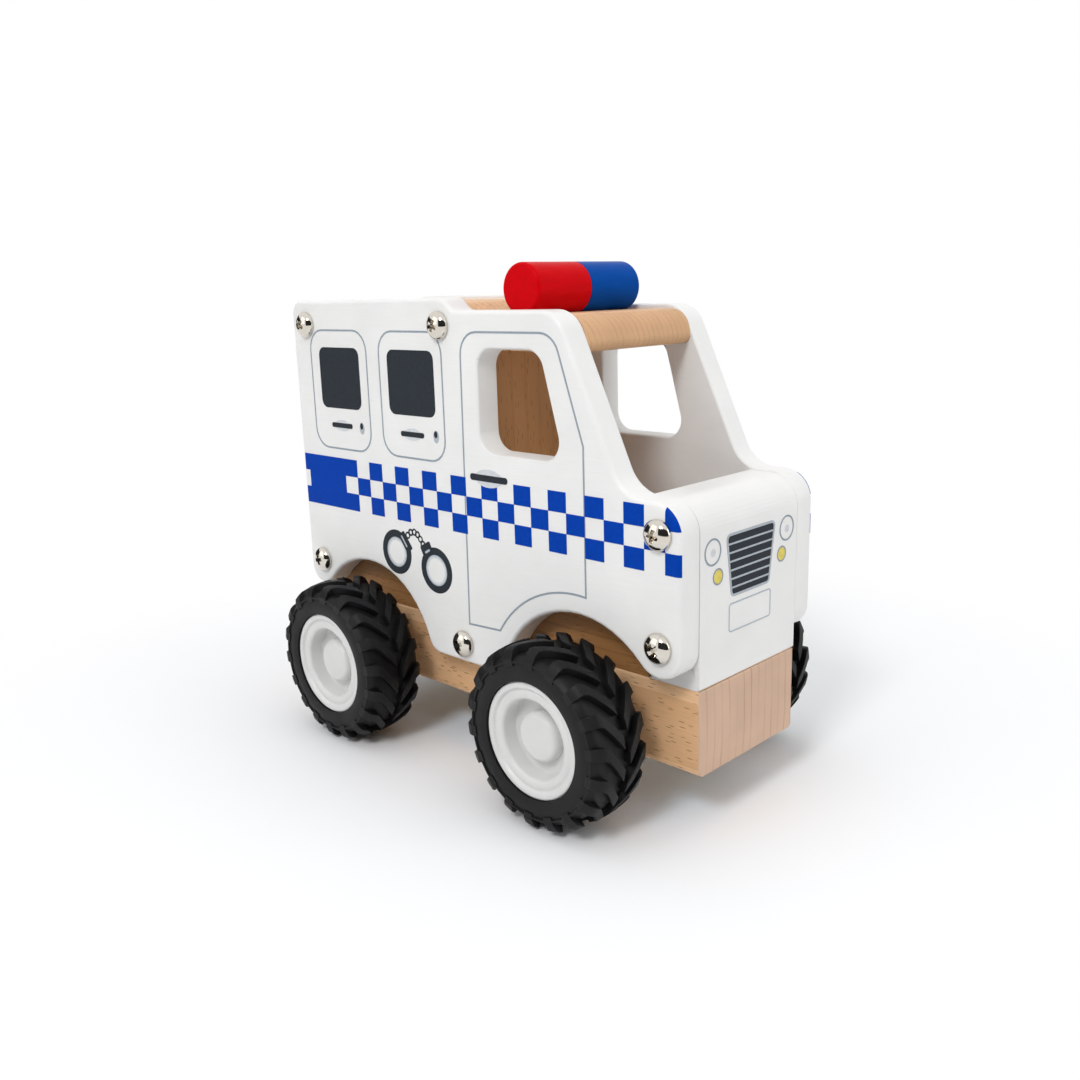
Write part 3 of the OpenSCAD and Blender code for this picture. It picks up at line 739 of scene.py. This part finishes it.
def lug():
    """One lug of the outboard row: a blunt tip near the middle, a bend, and a knee over the shoulder."""
    piece = start(bpy.ops.mesh.primitive_cube_add, "lug", size=1)
    edit(piece)
    bpy.ops.mesh.select_all(action="SELECT")
    bpy.ops.mesh.subdivide(number_cuts=7)
    close()
    for vertex in piece.data.vertices:
        across, along, up = vertex.co.x, vertex.co.y + 0.5, vertex.co.z + 0.5
        for (s0, u0, r0), (s1, u1, r1) in zip(LUG_RUN, LUG_RUN[1:]):
            if along <= s1 + 1e-6:
                part = (along - s0) / (s1 - s0)
                u, top = u0 + part * (u1 - u0), r0 + part * (r1 - r0)
                break
        bend = min(1, (u - LUG_MID) / (LUG_BEND - LUG_MID))
        shoulder = SHOULDER_R - SHOULDER_SLOPE * max(0, u - SHOULDER_HALF)
        root = min(crown(u) - LUG_H - LUG_ROOT, shoulder)
        r = root + up * (top - root)
        wide = LUG_WIDE + LUG_FLARE * (1 - up)
        angle = (LUG_SKEW * (bend - 0.5) + across * wide) / LUG_AT_R
        vertex.co = Vector((r * math.cos(angle), r * math.sin(angle), u)) * MM
    merge(piece)
    apply_modifier(piece, "BEVEL", width=LUG_EDGE, segments=2, limit_method="ANGLE",
                   angle_limit=math.radians(50))
    return piece


def tyre():
    """The body with both rows of lugs."""
    pieces = [tyre_body()]
    pattern = lug()
    lead = math.degrees(math.asin(LUG_SKEW / 2 / TYRE_R)) - 90
    for i in range(LUGS):
        turn = math.radians(i * 360 / LUGS + lead)
        half = math.radians((i + 0.5) * 360 / LUGS + lead)
        pieces.append(twin(pattern, "lug", Matrix.Rotation(turn, 4, "Z")))
        pieces.append(twin(pattern, "lug", Matrix.Rotation(half, 4, "Z") @ Matrix.Diagonal((1, 1, -1, 1))))
    bpy.data.objects.remove(pattern)
    made = join(pieces, "tyre")
    smooth(made, 40)
    return made


def rim():
    """Lipped ring with a groove in its face, a tapered recess and a boss behind."""
    lip = [(LIP_R, SEAT_HALF)] + arc(17.4, 9.2, 0.8, 0, 90, 5) + [(16.5, 10), (16.1, 9.85)]
    groove = [(15.85, 9.5), (15.6, 9.2), (15.3, 9.15), (15.0, 9.3), (14.5, 9.45), (14.0, 9.45)]
    recess = arc(13.5, 8.2, 1.2, 85, 175, 6) + [(12.0, 4.6), (11.8, 4.1), (11.4, 3.85), (AXLE_R, DISH)]
    boss = [(AXLE_R, BOSS_END), (BOSS_R, BOSS_END), (BOSS_R, 0.5), (14, 0.5)]
    inner_lip = [(14.6, -10.6), (LIP_R, -10.6), (LIP_R, -SEAT_HALF)]
    seat = [(SEAT_R, -SEAT_HALF), (SEAT_R, SEAT_HALF)]
    piece = lathe(lip + groove + recess + boss + inner_lip + seat, "rim", steps=128)
    smooth(piece)
    return piece


def hub_cap():
    """A shallow button with a rounded edge, hollow for the axle's end."""
    foot = [(AXLE_R, DISH), (CAP_R, DISH)]
    edge = arc(CAP_R - CAP_EDGE, CAP_TOP - CAP_EDGE, CAP_EDGE, 0, 78, 8)
    top = [(4.8, 7.48), (AXLE_R, CAP_TOP), (0, CAP_TOP)]
    hollow = [(0, CAP_FLOOR), (AXLE_R, CAP_FLOOR)]
    piece = lathe(foot + edge + top + hollow, "hub_cap")
    smooth(piece, 40)
    return piece


patterns = {"tyre": (tyre(), RUBBER, "rubber"), "rim": (rim(), ABS_WHITE, "white_plastic"),
            "hub_cap": (hub_cap(), ABS_WHITE, "white_plastic")}
for end in ("front", "rear"):
    low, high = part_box(f"{end}_right_tyre")
    hub = (low + high) / 2
    for side in SIDES:
        where = Matrix.Translation(hub) @ OUTWARDS
        if side == "left":
            where = MIRROR_Y @ where
        for part, (pattern, material, slot) in patterns.items():
            node = f"{end}_{side}_{part}"
            made = twin(pattern, f"{node}_dressed", where)
            finish_piece(made, material, f"{end}_wheels", [node])
for pattern, _, _ in patterns.values():
    bpy.data.objects.remove(pattern)

# Print on the side panels

# Width of a door line
LINE = 0.65
# The band's top and row height; its columns' width, start and count;
# its ends, and the notch in its rear block
BAND_TOP, ROW = 99.3, 6.26
COLUMN, COLUMN_START, COLUMNS = 7.3, -54.9, 20
BAND_REAR, BAND_FRONT, BAND_NOTCH = -87.7, 88.85, -85.0
# Middle and radius of the bonnet's curve on the panels, and the radius of their eased edge
HOOD_MID, HOOD_R, EDGE_R = Vector((79.5, 91.0)), 9.5, 1.4


def row_span(row):
    """Lowest and highest height of a row of the band."""
    return BAND_TOP - (row + 1) * ROW, BAND_TOP - row * ROW


def checker_band():
    """A plain block at the rear and a checker of three rows along the side, rounded off under the bonnet."""
    cells = []
    for row in range(3):
        low, high = row_span(row)
        rear, front = (BAND_NOTCH, COLUMN_START - COLUMN) if row == 1 else (BAND_REAR, COLUMN_START)
        cells.append(rect("cell", rear, front, low, high))
        for k in range(COLUMNS):
            if (k + row) % 2 == 0:
                continue
            left, right = COLUMN_START + k * COLUMN, COLUMN_START + (k + 1) * COLUMN
            if right < BAND_FRONT:
                cells.append(rect("cell", left, right, low, high))
            else:
                cells.append(front_cell(left, low, high))
    return cells


def front_cell(left, low, high):
    """A cell that runs over the panel's rounded front edge and follows the curve of the bonnet."""
    piece = start(bpy.ops.mesh.primitive_grid_add, "cell", x_subdivisions=28, y_subdivisions=12, size=1)
    reach = BAND_FRONT - HOOD_MID.x
    for vertex in piece.data.vertices:
        z = low + (vertex.co.y + 0.5) * (high - low)
        rise = max(0.0, z - HOOD_MID.y)
        front = HOOD_MID.x + math.sqrt(max(0.0, reach ** 2 - rise ** 2))
        x = left + (vertex.co.x + 0.5) * max(0.05, front - left)
        over = max(0.0, Vector((x - HOOD_MID.x, rise)).length - HOOD_R + EDGE_R)
        vertex.co = Vector((x, z, math.sqrt(EDGE_R ** 2 - over ** 2) - EDGE_R)) * MM
    piece.data.update()
    return piece


# The band lies over the door lines, which show in its white squares
print_on_sides("checker_band", checker_band(), INK_BLUE, 2)

# The two rear doors, and the cab door, which ends in an arc over the front wheel
DOORS = [rounded(box_corners(-78.8, -44.9, 102.5, 145.4, 7.5)),
         rounded(box_corners(-38.5, -5.3, 102.7, 145.3, 7.5)),
         rounded([(2.0, 49.4, 0), (3.4, 145.4, 7.5), (44.0, 145.4, 8), (54.85, 113.4, 2), (54.85, 68.16, 0)])
         + arc(50.5, 29.0, 39.4, 83.66, 147.5, 16)[1:]]
print_on_sides("door_lines", [stroke("door", outline, LINE) for outline in DOORS], INK_SLATE)

# Panes as [rear, front, low, high, corner radius]
PANES = [(-73.4, -49.7, 117.5, 139.1, 3), (-33.8, -9.7, 117.4, 139, 3)]
print_on_sides("dark_windows", [rect("pane", *pane) for pane in PANES], INK_CHARCOAL)

# Handles as [x, height, bar width, bar thickness, half width and half height of the cup behind it]
HANDLES = [(-62.0, 111.4, 12.2, 1.75, 4.6, 2.0), (-22.2, 111.1, 12.1, 1.75, 4.6, 2.0),
           (14.4, 99.9, 16.9, 2.1, 6.2, 2.9)]
print_on_sides("handle_cups", [disc("cup", x, z, rx, ry) for x, z, _, _, rx, ry in HANDLES], INK_PALE, 3)
handles = [rect("bar", x - w / 2, x + w / 2, z - t / 2, z + t / 2, 0.45 * t) for x, z, w, t, _, _ in HANDLES]
print_on_sides("handle_bars", handles, INK_CHARCOAL, 4)
KEYHOLES = [(-50.3, 111.1), (-10.0, 111.2)]
print_on_sides("lock_plates", [disc("lock", x, z, 1.4, 2.1, 24) for x, z in KEYHOLES], INK_GREY)
keyholes = [disc("key", x - 0.15, z + 0.75, 0.85, 1.15, 20) for x, z in KEYHOLES]
print_on_sides("keyholes", keyholes, INK_CHARCOAL, 2)

# Hand cuffs: two rings with lock plates, and a short chain of links between them

CUFFS = [(-34.6, 68.7), (-13.4, 65.4)]
CHAIN = [(-28.0, 75.6), (-26.2, 76.9), (-24.3, 77.2), (-22.6, 76.6), (-21.2, 75.2), (-19.9, 73.6)]
CUFF_R, CUFF_WIDE, LINK_R, LINK_WIDE = 8.0, 2.6, 1.3, 0.6
# Lock plates and the glints on them as [x, height, width, length, turn in degrees, corner radius]
LOCKS = [(-29.4, 73.0, 3.6, 7.4, 38, 0.6), (-18.0, 71.9, 5.6, 4.6, 28, 0.6)]
GLINTS = [(-30.1, 73.2, 0.7, 4.8, 38, 0.3), (-17.6, 71.5, 2.8, 0.8, 28, 0.3)]


def turned_rect(name, x, z, wide, tall, degrees, r):
    """A rectangle with rounded corners, turned about its middle."""
    spin = Matrix.Rotation(math.radians(degrees), 2)
    outline = [spin @ Vector(p) + Vector((x, z)) for p in
               rounded(box_corners(-wide / 2, wide / 2, -tall / 2, tall / 2, r), 3)]
    return flat(name, [(p.x, p.y) for p in outline])


# Films that overlap lie on layers of their own
cuffs = [ring("cuff", x, z, CUFF_R, CUFF_WIDE, 56) for x, z in CUFFS]
links = [ring("link", x, z, LINK_R, LINK_WIDE, 18) for x, z in CHAIN]
print_on_sides("cuffs", cuffs + links[::2], INK_CHARCOAL)
print_on_sides("cuff_locks", [turned_rect("plate", *lock) for lock in LOCKS], INK_CHARCOAL, 2)
print_on_sides("cuff_links", links[1::2], INK_CHARCOAL, 3)
print_on_sides("cuff_glints", [turned_rect("glint", *glint) for glint in GLINTS], INK_GREY, 3)
print_on_sides("cuff_shades", [ring("shade", x, z, 5.4, 0.5, 48) for x, z in CUFFS], INK_GREY)
print_on_sides("cuff_glow", [ring("glow", x, z, 4.9, 0.7, 48) for x, z in CUFFS], INK_PALE)

# Print on the front block

# The grille's lowest and highest height, and half its width at each
GRILLE_LOW, GRILLE_HIGH, GRILLE_FOOT, GRILLE_TOP = 69.6, 88.6, 10.0, 12.85
GRILLE = [(-GRILLE_FOOT, GRILLE_LOW, 1.8), (GRILLE_FOOT, GRILLE_LOW, 1.8),
          (GRILLE_TOP, GRILLE_HIGH, 1.8), (-GRILLE_TOP, GRILLE_HIGH, 1.8)]
# Its slats: count, lowest height, spacing, thickness, and the gap at each end
SLATS, SLAT_LOW, SLAT_STEP, SLAT_THICK, SLAT_GAP = 6, 72.1, 2.62, 0.55, 0.6
PLATE = box_corners(-11, 11, 59.0, 67.8, 1.2)
LAMPS = [(-19.2, 84.8), (19.2, 84.8)]
FOG_LAMPS = [(-16.6, 77.2), (16.6, 77.2)]


def grille_half(z):
    """Half the grille's width at a height."""
    return GRILLE_FOOT + (GRILLE_TOP - GRILLE_FOOT) * (z - GRILLE_LOW) / (GRILLE_HIGH - GRILLE_LOW)


print_on_nose("grille", [flat("grille", rounded(GRILLE))], INK_CHARCOAL)
lines = [stroke("frame", rounded(GRILLE), 0.75)]
for i in range(SLATS):
    z = SLAT_LOW + SLAT_STEP * i
    reach = grille_half(z) - SLAT_GAP
    lines.append(rect("slat", -reach, reach, z, z + SLAT_THICK))
lines.append(stroke("plate", rounded(PLATE), 0.4))
print_on_nose("front_lines", lines, INK_GREY, 2)
lamps = [ring("lamp", y, z, 4.0, 0.55) for y, z in LAMPS]
lamps += [ring("fog", y, z, 2.5, 0.5, 32) for y, z in FOG_LAMPS]
print_on_nose("lamp_rings", lamps, INK_SLATE, 2)
print_on_nose("lamp_glow", [disc("glow", y + 0.2, z - 0.2, 1.2) for y, z in LAMPS], INK_PALE)
print_on_nose("fog_lamps", [disc("fog", y, z, 2.15, steps=32) for y, z in FOG_LAMPS], INK_YELLOW)

# Stage

# The table's white as it gives light back, as the eye sees it, and with its painted tint under the van, which
# cancels the beech's warm light in the shadow
TABLE_LIT, TABLE_SEEN, TABLE_PAINTED_TINT = (0.85, 0.85, 0.85, 1), (0.915, 0.93, 0.945, 1), (0.75, 0.93, 1.1, 1)
# Distances in metres: where the table starts to fade to plain white and where it is white,
# and where the tint ends and where it is full
FADE_START, FADE_END = 0.12, 0.29
TINT_REACH = {"X": (0.095, 0.07), "Y": (0.04, 0.005)}
# The point that the lamps face
VAN_MIDDLE = Vector((0, 0, 0.07))


def seen_rays(tree):
    """1 for rays from the camera, in reflections and through glass, and 0 for light."""
    path = add(tree, "LightPath")
    first = add(tree, "Math", {0: path.outputs["Is Camera Ray"], 1: path.outputs["Is Glossy Ray"]},
                operation="MAXIMUM")
    return add(tree, "Math", {0: first.outputs[0], 1: path.outputs["Is Transmission Ray"]},
               operation="MAXIMUM").outputs[0]


def make_floor():
    """A wide white table that keeps the van's shadow and fades to plain white away from it."""
    floor = start(bpy.ops.mesh.primitive_plane_add, "floor", size=8)
    material = bpy.data.materials.new("white_table")
    material.use_nodes = True
    tree = material.node_tree
    tree.nodes.clear()
    coords = add(tree, "TexCoord")
    reach = add(tree, "VectorMath", {0: coords.outputs["Object"]}, operation="LENGTH")
    away = add(tree, "MapRange", {"Value": reach.outputs["Value"], "From Min": FADE_START,
                                  "From Max": FADE_END}, interpolation_type="SMOOTHSTEP")
    eye = seen_rays(tree)
    plain = add(tree, "Math", {0: away.outputs[0], 1: eye}, operation="MULTIPLY")
    seen = add(tree, "Mix", {0: eye, 6: TABLE_LIT, 7: TABLE_SEEN}, data_type="RGBA")
    # A cool tint painted under the van: painted light that cancels the warm light the beech throws down into
    # the shadow
    parts = add(tree, "SeparateXYZ", {0: coords.outputs["Object"]})
    under = eye
    for axis, (edge, core) in TINT_REACH.items():
        off = add(tree, "Math", {0: parts.outputs[axis]}, operation="ABSOLUTE")
        near = add(tree, "MapRange", {"Value": off.outputs[0], "From Min": edge, "From Max": core},
                   interpolation_type="SMOOTHSTEP")
        under = add(tree, "Math", {0: under, 1: near.outputs[0]}, operation="MULTIPLY").outputs[0]
    tinted = add(tree, "Mix", {0: under, 6: seen.outputs[2], 7: TABLE_PAINTED_TINT}, data_type="RGBA")
    matt = add(tree, "BsdfDiffuse", {"Color": tinted.outputs[2]})
    white = add(tree, "Emission", {"Strength": 1.0})
    both = add(tree, "MixShader", {0: plain.outputs[0], 1: matt.outputs[0], 2: white.outputs[0]})
    add(tree, "OutputMaterial", {"Surface": both.outputs[0]})
    floor.data.materials.append(material)


def make_world(level, overhead):
    """A white studio, plain to the eye; its light grows from the horizon to overhead."""
    world = bpy.data.worlds.new("studio")
    bpy.context.scene.world = world
    world.use_nodes = True
    tree = world.node_tree
    tree.nodes.clear()
    coords = add(tree, "TexCoord")
    parts = add(tree, "SeparateXYZ", {0: coords.outputs["Generated"]})
    light = add(tree, "MapRange", {"Value": parts.outputs["Z"], "To Min": level, "To Max": overhead})
    strength = add(tree, "Mix", {0: seen_rays(tree), 2: light.outputs[0], 3: 1.0})
    sky = add(tree, "Background", {"Color": (1, 1, 1, 1), "Strength": strength.outputs[0]})
    add(tree, "OutputWorld", {"Surface": sky.outputs[0]})


def make_card(name, place_at, wide, tall):
    """A dark studio card, out of the camera's sight, that shows in metal and holds back the room's light."""
    card = start(bpy.ops.mesh.primitive_plane_add, name, size=1)
    facing = (Vector((0, 0, place_at[2])) - Vector(place_at)).to_track_quat("Z", "Y").to_matrix().to_4x4()
    place(card, Matrix.Translation(place_at) @ facing @ Matrix.Diagonal((wide, tall, 1, 1)))
    material, tree, shader = new_material("charcoal_card")
    settle(tree, shader, Base_Color=linear("#202020"), Roughness=1.0)
    card.data.materials.append(material)
    card.visible_camera = card.visible_shadow = card.visible_transmission = False


def make_lamp(name, place_at, size, power):
    """A square soft lamp that faces the van."""
    lamp = bpy.data.lights.new(name, "AREA")
    lamp.shape = "SQUARE"
    lamp.size = size
    lamp.energy = power
    holder = bpy.data.objects.new(name, lamp)
    bpy.context.scene.collection.objects.link(holder)
    holder.location = place_at
    holder.rotation_euler = (VAN_MIDDLE - Vector(place_at)).to_track_quat("-Z", "Y").to_euler()


def make_camera():
    """The photograph's camera."""
    ca, sa = math.cos(EYE_AZIMUTH), math.sin(EYE_AZIMUTH)
    ce, se = math.cos(EYE_ELEVATION), math.sin(EYE_ELEVATION)
    back = Vector((sa * ce, -ca * ce, se))
    level = Vector((ca, sa, 0))
    right = level * math.cos(EYE_ROLL) + back.cross(level) * math.sin(EYE_ROLL)
    up = back.cross(right)
    lens = bpy.data.cameras.new("camera")
    lens.sensor_width = 36
    lens.lens = LENS
    lens.clip_start = 0.01
    lens.clip_end = 50
    holder = bpy.data.objects.new("camera", lens)
    bpy.context.scene.collection.objects.link(holder)
    turn = Matrix((right, up, back)).transposed().to_4x4()
    holder.matrix_world = Matrix.Translation(EYE) @ turn
    bpy.context.scene.camera = holder


make_floor()
make_world(level=0.42, overhead=1.1)
make_card("card_by_camera", (0.8, -0.8, 0.45), wide=2.4, tall=1.0)
make_card("card_behind", (-0.95, -0.3, 0.25), wide=0.9, tall=0.5)
make_lamp("key", (0.28, -0.80, 0.82), size=0.25, power=4.5)
make_lamp("side", (-0.55, -1.0, 0.55), size=0.7, power=0.9)
make_lamp("front", (1.05, 0.35, 0.5), size=0.7, power=2.0)
make_camera()
bpy.context.scene.view_settings.view_transform = "Standard"

low, high = cad_box
